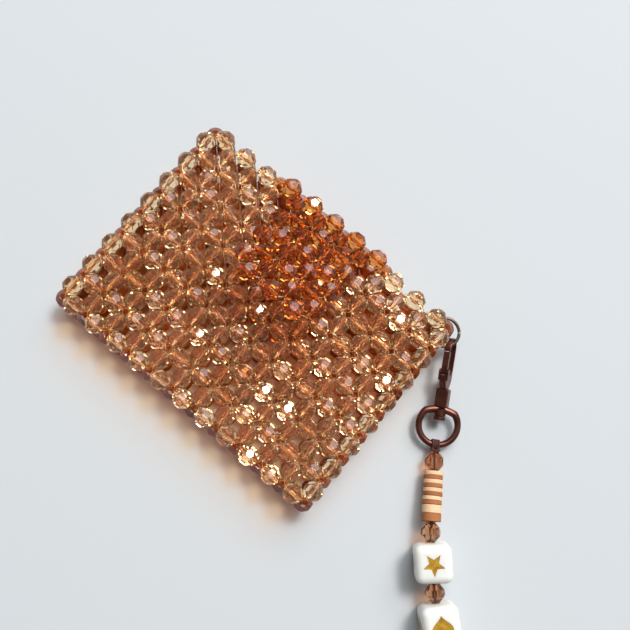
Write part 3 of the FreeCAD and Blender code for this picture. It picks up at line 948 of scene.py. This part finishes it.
def swivel_ring(steps=56, bar_steps=12):
    """A cast ring: a round loop that swells into a nearly straight bar with a boss."""
    place = placed(clasp_way, clasp_side, clasp_up, clasp_foot)
    corner = math.acos((BAR_PLACE - RING_RADIUS) / RING_RADIUS)
    path, radii = [], []
    for step in range(steps + 1):
        angle = corner + (math.tau - 2 * corner) * step / steps
        out = Vector((1 + math.cos(angle), math.sin(angle), 0))
        path.append(out * RING_RADIUS)
        share = abs(2 * step / steps - 1)
        swell = max(0, share - SWELL_FROM) / (1 - SWELL_FROM)
        radii.append(RING_BAR + (BAR_RADIUS - RING_BAR) * swell)
    width = path[-1].y
    for step in range(1, bar_steps):
        share = 2 * step / bar_steps - 1
        arch = BAR_ARCH * math.cos(math.pi / 2 * share)
        path.append(Vector((BAR_PLACE + arch, -width * share, 0)))
        radii.append(BAR_RADIUS)
    shape = Shape().add(*tube([place @ p for p in path], radii, CAST_SIDES, closed=True))
    boss = [
        (BOSS_BORE, BOSS_LOW),
        (BOSS_RADIUS - BOSS_EDGE, BOSS_LOW),
        (BOSS_RADIUS, BOSS_LOW + BOSS_EDGE),
        (BOSS_RADIUS, BOSS_HIGH - 0.75 * BOSS_EDGE),
        (BOSS_RADIUS - BOSS_EDGE, BOSS_HIGH),
        (BOSS_BORE, BOSS_HIGH),
    ]
    upright = place @ Matrix.Rotation(math.pi / 2, 4, "Y")
    shape.add(*lathe(boss, BOSS_SIDES, closed=True), upright)
    replaced = ["swivel_ring"]
    show("swivel_ring_cast", shape, "swivel", BRONZE, replaced, smooth=True)


WELD_REACH = 0.002 * MM
EDGE_ANGLE = math.radians(30)
EDGE_WIDTHS = {
    "clasp_hook": 0.2 * MM,
    "clasp_collar": 0.2 * MM,
    "clasp_gate": 0.25 * MM,
    "swivel_pin": 0.2 * MM,
    "gate_pin": 0.08 * MM,
}


def refine(node, width):
    """Keep a CAD piece of the clasp, plated and with its edges rounded."""
    thing = NODES[node]
    thing.data.materials.clear()
    thing.data.materials.append(BRONZE)
    weld = thing.modifiers.new("weld", "WELD")
    weld.merge_threshold = WELD_REACH
    edges = thing.modifiers.new("rounded edges", "BEVEL")
    edges.width = width
    edges.segments = 3
    edges.limit_method = "ANGLE"
    edges.angle_limit = EDGE_ANGLE


jump_ring()
swivel_ring()
for node, width in EDGE_WIDTHS.items():
    refine(node, width)

# ------------------------------------------------------------------ camera and light
CAMERA_PLACE = Vector((22.35, -27.51, 249.86)) * MM
CAMERA_TURN = [math.radians(a) for a in (8.283, -4.265, 40.08)]
LENS = 45.71
NEAR = 0.01
FLOOR_SIZE = 4.0
FLOOR_DROP = 0.4 * MM
FLOOR_COLOUR = (0.555, 0.58, 0.6, 1)
ROOM_COLOUR = (0.93, 0.97, 1.0, 1)
ROOM_STRENGTH = 0.17
LIGHTS = [
    ("window", (-0.1, 1.75, 2.7), 0.75, 57.0, (1.0, 0.985, 0.96)),
    ("fill", (-0.4, 1.75, 2.1), 2.4, 84.0, (0.97, 0.99, 1.0)),
]
BOUNCES = 24
CLEAR_BOUNCES = 32


def camera():
    """A camera above the purse, looking almost straight down."""
    lens = bpy.data.cameras.new("camera")
    lens.lens = LENS
    lens.clip_start = NEAR
    eye = bpy.data.objects.new("camera", lens)
    eye.location = CAMERA_PLACE
    eye.rotation_euler = CAMERA_TURN
    SCENE.collection.objects.link(eye)
    SCENE.camera = eye


def soft_light(name, place, target, width, power, colour):
    """A square area light that faces a target."""
    lamp = bpy.data.lights.new(name, "AREA")
    lamp.shape = "SQUARE"
    lamp.size = width
    lamp.energy = power
    lamp.color = colour
    thing = bpy.data.objects.new(name, lamp)
    thing.location = place
    thing.rotation_euler = (target - place).to_track_quat("-Z", "Y").to_euler()
    SCENE.collection.objects.link(thing)


def studio():
    """A pale floor, a window-like key from beyond the mouth, and a wide fill above it."""
    middle = (CAD_BOX[0] + CAD_BOX[1]) / 2
    middle.z = 0
    for name, offset, width, power, colour in LIGHTS:
        soft_light(name, middle + Vector(offset), middle, width, power, colour)
    world = bpy.data.worlds.new("room")
    world.use_nodes = True
    room = world.node_tree.nodes["Background"]
    room.inputs["Color"].default_value = ROOM_COLOUR
    room.inputs["Strength"].default_value = ROOM_STRENGTH
    SCENE.world = world
    mesh = bpy.data.meshes.new("floor")
    half = FLOOR_SIZE / 2
    corners = [(-half, -half, 0), (half, -half, 0), (half, half, 0), (-half, half, 0)]
    mesh.from_pydata(corners, [], [(0, 1, 2, 3)])
    pale, _, shader = material("pale floor", Roughness=0.9)
    shader.inputs["Base Color"].default_value = FLOOR_COLOUR
    mesh.materials.append(pale)
    floor = bpy.data.objects.new("floor", mesh)
    floor.location.z = -FLOOR_DROP
    SCENE.collection.objects.link(floor)


camera()
studio()
SCENE.view_settings.view_transform = "Standard"
SCENE.cycles.max_bounces = BOUNCES
SCENE.cycles.transmission_bounces = BOUNCES
SCENE.cycles.transparent_max_bounces = CLEAR_BOUNCES
